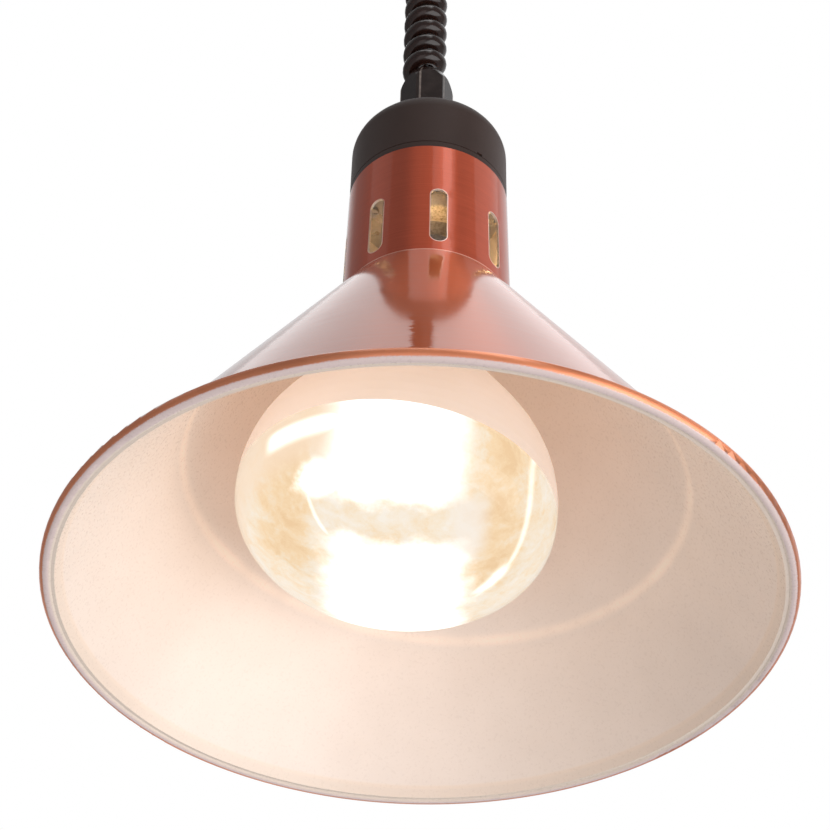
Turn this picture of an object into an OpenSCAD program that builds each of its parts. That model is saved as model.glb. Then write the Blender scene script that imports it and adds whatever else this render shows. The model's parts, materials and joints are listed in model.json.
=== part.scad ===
// Rise-and-fall heat lamp. The origin is the centre of the face that lies against
// the ceiling, +Z is up, and everything hangs below it. Sizes are in millimetres.

/* [Shade] */
// Outer diameter of the rolled rim
shade_d = 280; // [240:1:320]
// Thickness of the rolled bead at the rim
rim_bead_d = 5; // [3:0.5:8]
// Height from the rim to the seam where the neck stands on the cone
cone_h = 156.4; // [120:0.1:190]
// Outer diameter at the top of the cone
cone_top_d = 71.5; // [60:0.1:90]
// Half angle of the cone, measured from its axis
cone_angle = 32.67; // [25:0.01:40]
// Sheet thickness of the cone and the neck
sheet_t = 1; // [0.6:0.1:2]

/* [Neck] */
// Height of the slotted neck
neck_h = 64.25; // [45:0.05:90]
// Outer diameter at the top of the neck
neck_top_d = 69.9; // [58:0.1:90]
// Number of cooling slots round the neck
slot_count = 8; // [4:1:12]
// Width of one slot
slot_w = 7; // [4:0.5:10]
// Length of one slot from end to end
slot_h = 31.4; // [20:0.1:45]
// Height from the seam to the bottom of a slot
slot_lift = 5.4; // [2:0.1:12]
// Angle from the front to the nearest slot
slot_phase = 7.4; // [0:0.1:44]

/* [Cap] */
// Outer diameter of the moulded cap
cap_d = 69.6; // [58:0.1:90]
// Height of the clamping collar below the seam groove
collar_h = 3.25; // [2:0.05:8]
// Height of the dark seam groove
groove_h = 0.4; // [0.2:0.1:1.5]
// Height of the straight side of the cap
cap_side_h = 24.4; // [15:0.1:40]
// Radius of the rounded shoulder
cap_fillet = 12; // [6:0.5:20]
// Wall thickness of the cap
cap_t = 2.5; // [1.5:0.1:4]

/* [Cable gland] */
// Height from the flat of the cap to the mouth of its gland
head_gland_h = 45.4; // [25:0.1:55]
// Height from the canopy to the mouth of its gland
canopy_gland_h = 26; // [20:0.5:50]
// Width across the flats of the gland nut
gland_af = 21.4; // [18:0.1:28]
// Sideways distance from the hanging wire to the axis of the shade
head_offset = 1.8; // [0:0.1:5]

/* [Cord and wire] */
// Diameter of the flexible cord
cord_d = 7.3; // [6:0.1:9]
// Outer diameter of the coiled cord
coil_d = 20.8; // [16:0.1:30]
// Rise of the coil in one turn
coil_pitch = 11.25; // [8:0.05:16]
// Number of turns in the coil
coil_turns = 30; // [15:1:45]
// Sideways distance from the hanging wire to the axis of the coil
coil_offset = 1.3; // [0:0.1:1.4]
// Diameter of the steel wire that carries the lamp
wire_d = 1.2; // [0.8:0.1:2]

/* [Bulb and lampholder] */
// Diameter of the reflector bulb
bulb_d = 125; // [95:1:130]
// Depth of the domed glass face
face_depth = 34; // [20:0.5:40]
// Length of the bulb from its face to its end contact
bulb_len = 183; // [150:1:190]
// Sideways lean of the lampholder and bulb
lean = 5.2; // [0:0.1:8]
// Height from the rim to the point about which they lean
lean_z = 157.9; // [120:0.1:190]
// Distance from that point down to the widest part of the bulb
bulb_drop = 108.6; // [80:0.1:130]
// Outer diameter of the porcelain lampholder
holder_d = 42; // [36:1:50]

/* [Ceiling canopy] */
// Outer diameter of the canopy
canopy_d = 116; // [100:1:140]
// Height of the canopy
canopy_h = 72; // [60:1:95]
// Wall thickness of the canopy
canopy_t = 1.6; // [1:0.1:3]
// Radius of the drum that the wire winds on
drum_r = 17.7; // [15:0.1:22]

/* [Hidden] */
$fn = 64;
bead_r = rim_bead_d / 2;
slope = tan(cone_angle);
skin = sheet_t / cos(cone_angle);
cone_top_r = cone_top_d / 2;
neck_top_r = neck_top_d / 2;
neck_z = cone_h + neck_h;
cap_r = cap_d / 2;
collar_z = neck_z + collar_h;
cap_z = collar_z + groove_h;
shoulder_z = cap_z + cap_side_h;
roof_z = shoulder_z + cap_fillet;
mouth_z = roof_z + head_gland_h;
coil_len = coil_turns * coil_pitch;
canopy_mouth_z = -canopy_h - canopy_gland_h;
coil_bottom_z = canopy_mouth_z - coil_len;
rim_z = coil_bottom_z - mouth_z;
wire_r = wire_d / 2;
cord_r = cord_d / 2;
lead_r = 4.6;
head_lead_a = 70;
canopy_lead_a = 0;
gland_bore_r = 8.3;
gland_tube_r = 9.3;
gland_flange_h = 8;
boss_r = 27.5;
boss_angles = [90, 210, 330];
plate_t = 1.5;
plate_z = neck_z - sheet_t;
holder_low = 22;
holder_high = 56;
bar_t = 1.5;
bulb_r = bulb_d / 2;
ring_z = -bulb_drop;
bulb_end = bulb_len - face_depth - bulb_drop;
base_low = bulb_end - 27;
glass_t = 1;
canopy_r = canopy_d / 2;
canopy_fillet = 12;
axle_r = 4;
reel_y = drum_r + 0.92;
reel_z = -36;
flange_r = 24;
tail_sides = 10;
tail_points = [
  [-4.6, -97.2], [-4.6, -84], [-4.6, -76], [-4.6, -68], [-4.6, -60.5], [-5.6, -54],
  [-7.8, -47.6], [-10.8, -41], [-13.8, -34.5], [-16.8, -28], [-19.6, -21.8],
  [-22.4, -16.4], [-25.4, -12.9], [-28.8, -11.2], [-31.6, -11.1]
];
// Outline of the bulb's back: height above its widest part, then radius
back_points = [
  [0, 62.5], [5, 62.4], [10, 61.8], [15, 60.8], [20, 59.3], [25, 57.2], [30, 54.6],
  [35, 51.5], [40, 48], [45, 44.3], [50, 40.6], [56, 36.3], [62, 32.3], [68, 28.7],
  [74, 25.6], [80, 23], [86, 20.9], [92, 19.3], [98, 18.2], [104, 17.5], [110, 16.9],
  [114, 16], [118, 14.2], [121.4, 12.2], [127, 12.2]
];
face_steps = 18;

function cone_r(z) = cone_top_r + (cone_h - z) * slope;
function polar(r, a) = [r * sin(a), -r * cos(a)];
function face_r(t) = bulb_r * pow(cos(t), 2 / 2.3);
function face_z(t) = -face_depth * pow(sin(t), 2 / 2.3);
function unit(v) = v / norm(v);
function along(p, i) =
  i == 0 ? unit(p[1] - p[0]) :
  i == len(p) - 1 ? unit(p[i] - p[i - 1]) :
  unit(p[i + 1] - p[i - 1]);
function ring_point(c, t, r, a) =
  [c[0], c[1], c[2]] + r * cos(a) * unit(cross(t, [0.02, 1, 0.03]))
  + r * sin(a) * unit(cross(t, cross(t, [0.02, 1, 0.03])));
function sweep_points(p, r, n) =
  [for (i = [0:len(p) - 1]) for (k = [0:n - 1])
    ring_point(p[i], along(p, i), r, 360 * k / n)];
function sweep_faces(m, n) = concat(
  [[for (k = [0:n - 1]) k]],
  [for (i = [0:m - 2]) for (k = [0:n - 1])
    [i * n + k, (i + 1) * n + k, (i + 1) * n + (k + 1) % n, i * n + (k + 1) % n]],
  [[for (k = [n - 1:-1:0]) (m - 1) * n + k]]
);

module sweep(p, r, n) {
  polyhedron(sweep_points(p, r, n), sweep_faces(len(p), n), 4);
}

module tube(r, bore, z0, z1) {
  difference() {
    translate([0, 0, z0]) cylinder(r = r, h = z1 - z0);
    translate([0, 0, z0 - 1]) cylinder(r = bore, h = z1 - z0 + 2);
  }
}

module hex(af, z0, z1) {
  translate([0, 0, z0]) cylinder(r = af / 2 / cos(30), h = z1 - z0, $fn = 6);
}

module dome_2d(r, z0, zs, f) {
  translate([0, z0]) square([r, zs - z0]);
  translate([0, z0]) square([r - f, zs + f - z0]);
  translate([r - f, zs]) circle(f);
}

module head() {
  translate([head_offset, 0, rim_z]) children();
}

module leaned() {
  head() translate([0, 0, lean_z]) rotate([0, lean, 0]) children();
}

module head_gland() {
  translate([0, 0, rim_z + mouth_z]) children();
}

module canopy_gland() {
  translate([0, 0, canopy_mouth_z]) rotate([180, 0, 0]) children();
}

module on_axle() {
  translate([0, reel_y, reel_z]) rotate([0, 90, 0]) children();
}

// Parts of one cable gland, measured down from its mouth
module gland_body(h, tail) {
  difference() {
    union() {
      translate([0, 0, -h - tail]) cylinder(r = gland_tube_r, h = tail + h - 18);
      hex(22.6, -h, -h + gland_flange_h);
    }
    translate([0, 0, -h - tail - 1]) cylinder(r = gland_bore_r, h = h + tail + 2);
  }
}

module gland_nut(h, af) {
  corner = af / 2 / cos(30);
  difference() {
    intersection() {
      rotate([0, 0, 6]) hex(af, -h, 0);
      rotate_extrude() polygon([
        [0, -h], [corner - 0.7, -h], [corner + 0.1, -h + 1.2], [corner + 0.1, -8.8],
        [corner - 0.6, -6.2], [af / 2 - 0.1, -3.6], [9.8, -1.6], [9, 0], [0, 0]
      ]);
    }
    translate([0, 0, -h - 1]) cylinder(r = gland_tube_r + 0.1, h = h - 5);
    translate([0, 0, -h]) cylinder(r = gland_bore_r + 0.06, h = h + 1);
  }
}

module gland_seal(lead, wire_bore) {
  difference() {
    rotate_extrude() polygon([
      [0, -17.9], [gland_tube_r, -17.9], [gland_tube_r, -6.1], [gland_bore_r, -6.1],
      [gland_bore_r, -1.2], [7.9, -0.8], [0, -0.8]
    ]);
    translate([lead[0], lead[1], -19]) cylinder(r = cord_r, h = 20);
    translate([0, 0, -19]) cylinder(r = wire_bore, h = 20);
  }
}

module gland_locknut(af, z0, z1) {
  difference() {
    hex(af, z0, z1);
    translate([0, 0, z0 - 1]) cylinder(r = gland_tube_r + 0.03, h = z1 - z0 + 2);
  }
}

module mounting_plate() {
  color("silver") difference() {
    union() {
      translate([0, 0, -2]) cylinder(r = canopy_r - canopy_t - 2, h = 2);
      for (a = [90, 210, 330])
        intersection() {
          tube(canopy_r - canopy_t - 0.1, canopy_r - canopy_t - 2, -12, 0);
          rotate([0, 0, a]) translate([0, -7, -12]) cube([canopy_r, 14, 12]);
        }
    }
    for (a = [45:90:315])
      rotate([0, 0, a]) translate([40, 0, -3]) cylinder(r = 2.6, h = 4);
    translate([0, -24, -3]) cylinder(r = 7, h = 4);
    for (a = [90, 210, 330])
      rotate([0, 0, a]) translate([40, 0, -7]) rotate([0, 90, 0]) cylinder(r = 1.98, h = 20);
  }
}

module canopy() {
  color([0.09, 0.08, 0.08]) difference() {
    mirror([0, 0, 1]) rotate_extrude()
      dome_2d(canopy_r, 0, canopy_h - canopy_fillet, canopy_fillet);
    mirror([0, 0, 1]) rotate_extrude() dome_2d(
      canopy_r - canopy_t, -1, canopy_h - canopy_fillet, canopy_fillet - canopy_t);
    translate([0, 0, -canopy_h - 1]) cylinder(r = gland_tube_r + 0.05, h = 4);
    for (a = [90, 210, 330])
      rotate([0, 0, a]) translate([50, 0, -7]) rotate([0, 90, 0]) cylinder(r = 2.2, h = 12);
  }
}

module canopy_screws() {
  color("dimgray") for (a = [90, 210, 330])
    rotate([0, 0, a]) translate([canopy_r, 0, -7]) rotate([0, 90, 0]) difference() {
      union() {
        translate([0, 0, -8]) cylinder(r = 1.95, h = 9);
        cylinder(r = 3.6, h = 2.2);
      }
      translate([-2.4, -0.4, 1.4]) cube([4.8, 0.8, 1.5]);
    }
}

module reel_bracket() {
  color("silver") difference() {
    union() {
      translate([-12, 2, -4]) cube([38, 34, 2]);
      translate([-12, 2, -56]) cube([2, 34, 54]);
      translate([24, 2, -56]) cube([2, 34, 54]);
    }
    translate([-20, reel_y, reel_z]) rotate([0, 90, 0]) cylinder(r = axle_r + 0.03, h = 60);
  }
}

module reel_axle() {
  color("gray") translate([-15, 0, 0]) on_axle() cylinder(r = axle_r, h = 44);
}

module axle_clips() {
  color("dimgray") for (x = [-13.2, 26.1])
    translate([x, 0, 0]) on_axle() tube(7, axle_r + 0.02, 0, 1.1);
}

module spring_case() {
  color("silver") translate([10, 0, 0]) on_axle() difference() {
    cylinder(r = 22, h = 14);
    translate([0, 0, 1.2]) cylinder(r = 20.8, h = 11.4);
    translate([0, 0, -1]) cylinder(r = axle_r + 0.3, h = 16);
  }
}

module power_spring() {
  color("steelblue") translate([12, 0, 0]) on_axle()
    for (r = [7:1.5:19]) tube(r + 0.4, r, 0, 10);
}

module wire_spool() {
  color("gainsboro") translate([-9, 0, 0]) on_axle() difference() {
    union() {
      cylinder(r = 7, h = 18);
      translate([0, 0, 2]) cylinder(r = drum_r, h = 14);
      translate([0, 0, 0.5]) cylinder(r = flange_r, h = 1.5);
      translate([0, 0, 16]) cylinder(r = flange_r, h = 1.5);
    }
    translate([0, 0, -1]) cylinder(r = axle_r + 0.06, h = 20);
  }
}

module wound_wire() {
  color("slategray") for (x = [1.6:1.3:5.5])
    for (s = [-1, 1])
      translate([s * x, 0, 0]) on_axle()
        rotate_extrude() translate([drum_r + wire_r + 0.01, 0]) circle(r = wire_r);
}

module terminal_block() {
  color("ivory") difference() {
    translate([-13, -45, -16]) cube([26, 13, 14]);
    for (x = [-8, 0, 8])
      translate([x, -38.5, -17]) cylinder(r = 2.4, h = 6);
  }
}

module terminal_screws() {
  color("goldenrod") for (x = [-8, 0, 8])
    translate([x, -38.5, -14.5]) difference() {
      cylinder(r = 2.3, h = 3.5);
      translate([-2.4, -0.3, -1]) cube([4.8, 0.6, 1.8]);
    }
}

module canopy_cord_tail() {
  color([0.06, 0.06, 0.06])
    sweep([for (q = tail_points) [0, q[0], q[1]]], cord_r, tail_sides);
}

module canopy_gland_body() {
  color([0.08, 0.08, 0.08]) canopy_gland() gland_body(canopy_gland_h, 11);
}

module canopy_gland_nut() {
  color([0.08, 0.08, 0.08]) canopy_gland() gland_nut(17.5, gland_af);
}

module canopy_gland_seal() {
  p = polar(lead_r, canopy_lead_a);
  color([0.15, 0.15, 0.15]) canopy_gland() gland_seal([p[0], -p[1]], wire_r + 0.4);
}

module canopy_gland_locknut() {
  color([0.08, 0.08, 0.08]) canopy_gland()
    gland_locknut(24, -canopy_gland_h - canopy_t - 5, -canopy_gland_h - canopy_t);
}

module suspension_wire() {
  top = reel_z;
  bottom = rim_z + roof_z - 23.7;
  color("lightgray") translate([0, 0, bottom]) cylinder(r = wire_r, h = top - bottom);
}

module curly_cord() {
  color([0.05, 0.05, 0.05]) translate([-coil_offset, 0, 0])
    tube(coil_d / 2, coil_d / 2 - cord_d, coil_bottom_z, canopy_mouth_z);
}

module head_gland_body() {
  color([0.08, 0.08, 0.08]) head_gland() gland_body(head_gland_h, 14.7);
}

module head_gland_nut() {
  color([0.08, 0.08, 0.08]) head_gland() gland_nut(36, gland_af);
}

module head_gland_seal() {
  color([0.15, 0.15, 0.15]) head_gland()
    gland_seal(polar(lead_r, head_lead_a), wire_r + 0.02);
}

module head_gland_locknut() {
  color([0.08, 0.08, 0.08]) head_gland()
    gland_locknut(24, -head_gland_h - cap_t - 5, -head_gland_h - cap_t);
}

module wire_stop() {
  color("gray") translate([0, 0, rim_z + roof_z - 14.7]) difference() {
    union() {
      rotate([0, 0, head_lead_a]) translate([-9, -1.5, -2]) cube([18, 3, 2]);
      translate([0, 0, -9]) cylinder(r = 2.4, h = 7.5);
    }
    translate([0, 0, -10]) cylinder(r = wire_r + 0.02, h = 12);
  }
}

module head_cord_tail() {
  p = polar(lead_r, head_lead_a);
  color([0.06, 0.06, 0.06]) translate([p[0], p[1], rim_z + roof_z - 13.5])
    cylinder(r = cord_r, h = head_gland_h + 13.5 - 0.8);
}

module lead_wires() {
  p = polar(lead_r, head_lead_a);
  top = rim_z + roof_z - 13.6;
  low = rim_z + neck_z - 3;
  spread = [[-0.8, 1.5], [-0.8, -1.5], [2, 0.1]];
  ends = [[head_offset + 6.9, 1.4], [head_offset + 6.9, -1.4], [head_offset + 19, 0]];
  color("saddlebrown") for (i = [0:2])
    sweep([
      [p[0] + spread[i][0], p[1] + spread[i][1], top],
      [p[0] + spread[i][0], p[1] + spread[i][1], top - 8],
      [p[0] + spread[i][0] + 0.6, p[1] + spread[i][1] * 0.8, top - 14],
      [(p[0] + ends[i][0]) / 2 + 1.4, ends[i][1] * 0.8, (top + low) / 2 - 2],
      [ends[i][0] - 0.3, ends[i][1], low + 8],
      [ends[i][0], ends[i][1], low + 2 * (i == 2 ? 1 : 0)]
    ], 0.9, 8);
}

module top_cap() {
  color([0.16, 0.13, 0.12]) head() difference() {
    union() {
      rotate_extrude() difference() {
        dome_2d(cap_r, cap_z, shoulder_z, cap_fillet);
        dome_2d(cap_r - cap_t, cap_z - 1, shoulder_z, cap_fillet - cap_t);
      }
      for (a = boss_angles)
        rotate([0, 0, a]) translate([boss_r, 0, cap_z]) cylinder(r = 4, h = shoulder_z - cap_z + 6);
    }
    translate([-head_offset, 0, roof_z - 5]) cylinder(r = gland_tube_r + 0.05, h = 8);
    for (a = boss_angles)
      rotate([0, 0, a]) translate([boss_r, 0, cap_z - 1]) cylinder(r = 1.98, h = 15);
    rotate([0, 0, 39]) translate([-1.4, -cap_r - 1, cap_z - 1]) cube([2.8, 2.4, 2.2]);
  }
}

module clamp_collar() {
  color([0.14, 0.12, 0.11]) head() difference() {
    union() {
      tube(cap_r, 22, neck_z, collar_z);
      tube(cap_r - cap_t - 0.1, 22, collar_z - 0.5, cap_z);
    }
    for (a = boss_angles)
      rotate([0, 0, a]) translate([boss_r, 0, neck_z - 1]) cylinder(r = 2.2, h = 8);
  }
}

module neck_tube() {
  color([0.72, 0.32, 0.22]) head() difference() {
    rotate_extrude() polygon([
      [cone_top_r, cone_h], [neck_top_r, neck_z], [23, neck_z], [23, plate_z],
      [neck_top_r - sheet_t, plate_z], [cone_top_r - sheet_t, cone_h]
    ]);
    for (i = [0:slot_count - 1])
      rotate([0, 0, slot_phase + i * 360 / slot_count])
        translate([0, 0, cone_h + slot_lift]) rotate([90, 0, 0]) linear_extrude(50) {
          translate([0, slot_w / 2]) circle(r = slot_w / 2);
          translate([0, slot_h - slot_w / 2]) circle(r = slot_w / 2);
          translate([-slot_w / 2, slot_w / 2]) square([slot_w, slot_h - slot_w]);
        }
    for (a = boss_angles)
      rotate([0, 0, a]) translate([boss_r, 0, plate_z - 1]) cylinder(r = 2.2, h = 4);
  }
}

module shade_cone() {
  collar_r = cone_top_r - sheet_t - 0.12;
  inner_r = collar_r - sheet_t;
  join_z = cone_h + (cone_top_r - skin - inner_r) / slope;
  low = 0.9;
  bead_x = shade_d / 2 - bead_r;
  color([0.78, 0.38, 0.26]) head() union() {
    rotate_extrude() polygon([
      [cone_r(low) - skin, low], [inner_r, join_z], [inner_r, cone_h + 4.6],
      [collar_r, cone_h + 4.6], [collar_r, cone_h], [cone_top_r, cone_h],
      [cone_r(bead_r + 0.6), bead_r + 0.6], [bead_x, bead_r + 0.4],
      [bead_x, low]
    ]);
    rotate_extrude() translate([bead_x, bead_r]) circle(r = bead_r);
  }
}

module clamp_plate() {
  color("silver") head() difference() {
    tube(32.8, 19, plate_z - plate_t, plate_z);
    for (a = boss_angles)
      rotate([0, 0, a]) translate([boss_r, 0, plate_z - 4]) cylinder(r = 2.2, h = 5);
    for (x = [-24.5, 24.5])
      translate([x, 0, plate_z - 4]) cylinder(r = 1.6, h = 5);
  }
}

module clamp_screws() {
  color("gray") head() for (a = boss_angles)
    rotate([0, 0, a]) translate([boss_r, 0, plate_z - plate_t]) difference() {
      union() {
        cylinder(r = 1.95, h = 18);
        translate([0, 0, -2.6]) cylinder(r = 3.8, h = 2.6);
      }
      translate([-2.6, -0.5, -3]) cube([5.2, 1, 1.4]);
      translate([-0.5, -2.6, -3]) cube([1, 5.2, 1.4]);
    }
}

module holder_bracket() {
  top = plate_z - plate_t;
  color("silver") head() difference() {
    union() {
      for (s = [-1, 1])
        translate([s > 0 ? 20 : -29, -8, top - bar_t]) cube([9, 16, bar_t]);
      translate([-21.5, -8, lean_z + 57.1]) cube([bar_t, 16, top - lean_z - 57.1]);
      translate([20, -8, lean_z + 54.6]) cube([bar_t, 16, top - lean_z - 54.6]);
      intersection() {
        translate([0, 0, lean_z]) rotate([0, lean, 0])
          translate([-40, -8, holder_high + 0.02]) cube([80, 16, bar_t]);
        translate([-21.5, -9, lean_z]) cube([43, 18, 70]);
      }
    }
    translate([0, 0, lean_z]) rotate([0, lean, 0])
      translate([0, 0, holder_high - 2]) cylinder(r = 5.05, h = 8);
    for (x = [-24.5, 24.5])
      translate([x, 0, top - 4]) cylinder(r = 1.6, h = 6);
  }
}

module bracket_screws() {
  top = plate_z - plate_t;
  color("gray") head() for (x = [-24.5, 24.5])
    translate([x, 0, top - bar_t]) difference() {
      union() {
        cylinder(r = 1.55, h = bar_t + plate_t - 0.05);
        translate([0, 0, -2]) cylinder(r = 2.8, h = 2);
      }
      translate([-2.4, -0.4, -2.4]) cube([4.8, 0.8, 1.2]);
    }
}

module holder_nipple() {
  color("goldenrod") leaned() tube(5, 3.6, 47, 64);
}

module nipple_nut() {
  color("goldenrod") leaned() difference() {
    hex(14, holder_high + bar_t + 0.04, holder_high + bar_t + 3.6);
    translate([0, 0, holder_high]) cylinder(r = 5.02, h = 8);
  }
}

module lampholder() {
  r = holder_d / 2;
  color("ivory") leaned() difference() {
    rotate_extrude() {
      polygon([
        [0, 30.1], [r, 30.1], [r, 49], [r - 1.2, 52], [r - 4, 54.6], [r - 6, holder_high],
        [0, holder_high]
      ]);
      translate([0, holder_low + 0.6]) square([r - 1.8, 8]);
    }
    translate([0, 0, holder_low - 1]) cylinder(r = 14.9, h = 25);
    translate([0, 0, 40]) cylinder(r = 5.02, h = 20);
  }
}

module holder_ring() {
  r = holder_d / 2;
  color("darkgray") leaned() difference() {
    translate([0, 0, holder_low]) cylinder(r = r + 0.8, h = 8);
    translate([0, 0, holder_low + 0.5]) cylinder(r = r - 1.75, h = 9);
    translate([0, 0, holder_low - 1]) cylinder(r = 15.4, h = 3);
  }
}

module holder_shell() {
  color("goldenrod") leaned() difference() {
    tube(14.85, 14.2, 25, 45.9);
    for (z = [27:3.6:44])
      translate([0, 0, z]) rotate_extrude() translate([14.05, 0]) circle(r = 0.5);
  }
}

module holder_contact() {
  color("goldenrod") leaned() union() {
    translate([0, 0, bulb_end + 0.3]) cylinder(r = 4.4, h = 1);
    translate([0, 0, bulb_end + 1]) cylinder(r = 2.6, h = 47 - bulb_end - 1);
  }
}

module tip_contact() {
  color("silver") leaned() translate([0, 0, bulb_end - 1.6]) cylinder(r = 4.8, h = 1.6);
}

module bulb_base() {
  color("silver") leaned() difference() {
    rotate_extrude() {
      translate([0, base_low]) square([12.6, 21]);
      for (z = [base_low + 3:3.6:base_low + 20])
        translate([12.1, z]) circle(r = 1);
      translate([0, base_low]) square([12.9, 1.5]);
    }
    translate([0, 0, base_low - 1]) cylinder(r = 12.25, h = 21);
  }
}

module base_insulator() {
  color([0.05, 0.05, 0.1]) leaned() rotate_extrude() polygon([
    [0, base_low + 21], [12.2, base_low + 21], [11, base_low + 21.6], [6.4, bulb_end - 1.6],
    [0, bulb_end - 1.6]
  ]);
}

module bulb_reflector() {
  n = len(back_points) - 1;
  color([0.86, 0.78, 0.72]) leaned() translate([0, 0, ring_z]) rotate_extrude()
    polygon(concat(
      [for (i = [0:n]) [back_points[i][1], back_points[i][0]]],
      [for (i = [n:-1:0]) [back_points[i][1] - glass_t, back_points[i][0]]]
    ));
}

module bulb_face() {
  k = (bulb_r - glass_t) / bulb_r;
  j = (face_depth - glass_t) / face_depth;
  color([1, 0.93, 0.8]) leaned() translate([0, 0, ring_z]) rotate_extrude()
    polygon(concat(
      [for (i = [0:face_steps]) [face_r(90 * i / face_steps), face_z(90 * i / face_steps)]],
      [for (i = [face_steps:-1:0])
        [k * face_r(90 * i / face_steps), j * face_z(90 * i / face_steps)]]
    ));
}

module filament() {
  color("orange") leaned() translate([0, 0, ring_z + 34])
    rotate_extrude() translate([9, 0]) circle(r = 0.9);
}

module filament_stem() {
  color("lightgray") leaned() translate([0, 0, ring_z]) union() {
    translate([0, 0, 62]) cylinder(r = 4.5, h = 60);
    for (a = [0:90:270])
      rotate([0, 0, a]) {
        translate([8.3, 0, 34.8]) cylinder(r = 0.4, h = 28);
        translate([0, -0.4, 62]) cube([8.7, 0.8, 0.8]);
      }
  }
}

mounting_plate();
canopy();
canopy_screws();
reel_bracket();
reel_axle();
axle_clips();
spring_case();
power_spring();
wire_spool();
wound_wire();
terminal_block();
terminal_screws();
canopy_cord_tail();
canopy_gland_body();
canopy_gland_nut();
canopy_gland_seal();
canopy_gland_locknut();
suspension_wire();
curly_cord();
head_gland_body();
head_gland_nut();
head_gland_seal();
head_gland_locknut();
wire_stop();
head_cord_tail();
lead_wires();
top_cap();
clamp_collar();
neck_tube();
shade_cone();
clamp_plate();
clamp_screws();
holder_bracket();
bracket_screws();
holder_nipple();
nipple_nut();
lampholder();
holder_ring();
holder_shell();
holder_contact();
tip_contact();
bulb_base();
base_insulator();
bulb_reflector();
bulb_face();
filament();
filament_stem();
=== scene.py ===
import json
import math

import bmesh
import bpy
from mathutils import Euler, Matrix, Vector

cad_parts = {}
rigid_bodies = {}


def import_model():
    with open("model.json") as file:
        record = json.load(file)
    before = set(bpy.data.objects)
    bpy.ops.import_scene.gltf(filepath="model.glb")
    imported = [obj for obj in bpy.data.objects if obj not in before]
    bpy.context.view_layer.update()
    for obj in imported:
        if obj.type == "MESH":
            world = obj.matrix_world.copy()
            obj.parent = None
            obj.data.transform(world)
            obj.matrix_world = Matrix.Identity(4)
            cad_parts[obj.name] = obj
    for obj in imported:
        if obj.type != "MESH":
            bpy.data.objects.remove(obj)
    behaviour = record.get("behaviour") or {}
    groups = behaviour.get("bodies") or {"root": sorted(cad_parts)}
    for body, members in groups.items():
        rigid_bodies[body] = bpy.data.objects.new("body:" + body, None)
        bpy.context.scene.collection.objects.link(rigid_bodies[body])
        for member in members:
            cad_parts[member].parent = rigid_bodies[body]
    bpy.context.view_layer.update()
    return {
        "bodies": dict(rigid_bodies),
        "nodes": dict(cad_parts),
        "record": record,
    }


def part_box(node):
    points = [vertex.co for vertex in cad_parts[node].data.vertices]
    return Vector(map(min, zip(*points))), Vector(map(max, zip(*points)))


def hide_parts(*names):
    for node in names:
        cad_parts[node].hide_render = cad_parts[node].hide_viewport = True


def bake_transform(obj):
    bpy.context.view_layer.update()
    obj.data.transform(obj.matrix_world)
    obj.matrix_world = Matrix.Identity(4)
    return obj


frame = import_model()
MM = 0.001

# ---------------------------------------------------------------- camera
scene = bpy.context.scene
cam_data = bpy.data.cameras.new("camera")
cam_data.lens = 86.747
cam_data.sensor_width = 36.0
cam_data.clip_start, cam_data.clip_end = 0.02, 60.0
camera = bpy.data.objects.new("camera", cam_data)
scene.collection.objects.link(camera)
# It stands in front of the shade and below it, looking up at 41 degrees.
turn = Euler([math.radians(a) for a in (131.19, -1.12, -0.66)]).to_matrix().to_4x4()
camera.matrix_world = Matrix.Translation((0.0018, -0.60533, -1.17375)) @ turn
scene.camera = camera

# ------------------------------------------------- sizes repeated from part.scad, in millimetres
HEAD_X = 1.8
RIM_Z = -741.6
MOUTH_Z = -435.5
CANOPY_MOUTH_Z = -98.0
CORD_R = 3.65
COIL_R = 6.75
COIL_X = -1.3
PITCH = 11.25
CONE_H = 156.4
SLOT_PHASE = 7.4
SLOT_MID = CONE_H + 21.1
SLOT_STRAIGHT = 12.2
CONE_TOP_R = 35.75
SLOPE = math.tan(math.radians(32.67))
BEAD_X, BEAD_R = 137.5, 2.5
LEAN = math.radians(5.2)
PIVOT = Vector((HEAD_X, 0.0, RIM_Z + 157.9))
RING_Z = -108.6


def mesh_object(name, verts, faces, smooth=True):
    mesh = bpy.data.meshes.new(name)
    mesh.from_pydata([tuple(v) for v in verts], [], faces)
    mesh.update()
    for p in mesh.polygons:
        p.use_smooth = smooth
    obj = bpy.data.objects.new(name, mesh)
    scene.collection.objects.link(obj)
    return obj


def tube_mesh(name, path, radius, sides, up_hint=Vector((0, 0, 1))):
    """A closed round tube along path, with its rings turned by parallel transport."""
    n = len(path)
    tangents = []
    for i in range(n):
        a, b = path[max(i - 1, 0)], path[min(i + 1, n - 1)]
        tangents.append((b - a).normalized())
    side = tangents[0].cross(Vector((0.31, 0.87, 0.05))).normalized()
    verts, faces = [], []
    for i in range(n):
        if i:
            side = side - tangents[i] * side.dot(tangents[i])
            side.normalize()
        other = tangents[i].cross(side)
        r = radius(i / (n - 1)) if callable(radius) else radius
        for k in range(sides):
            t = 2 * math.pi * k / sides
            verts.append(path[i] + side * (r * math.cos(t)) + other * (r * math.sin(t)))
    for i in range(n - 1):
        for k in range(sides):
            k2 = (k + 1) % sides
            faces.append((i * sides + k, i * sides + k2, (i + 1) * sides + k2, (i + 1) * sides + k))
    faces.append(tuple(range(sides - 1, -1, -1)))
    faces.append(tuple((n - 1) * sides + k for k in range(sides)))
    return mesh_object(name, verts, faces)


# ---------------------------------------------------------------- coiled cord
def hermite(a, ta, b, tb, n):
    out = []
    for i in range(n):
        t = i / n
        h1, h2 = 2 * t**3 - 3 * t**2 + 1, t**3 - 2 * t**2 + t
        h3, h4 = -2 * t**3 + 3 * t**2, t**3 - t**2
        out.append(a * h1 + ta * h2 + b * h3 + tb * h4)
    return out


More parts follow.
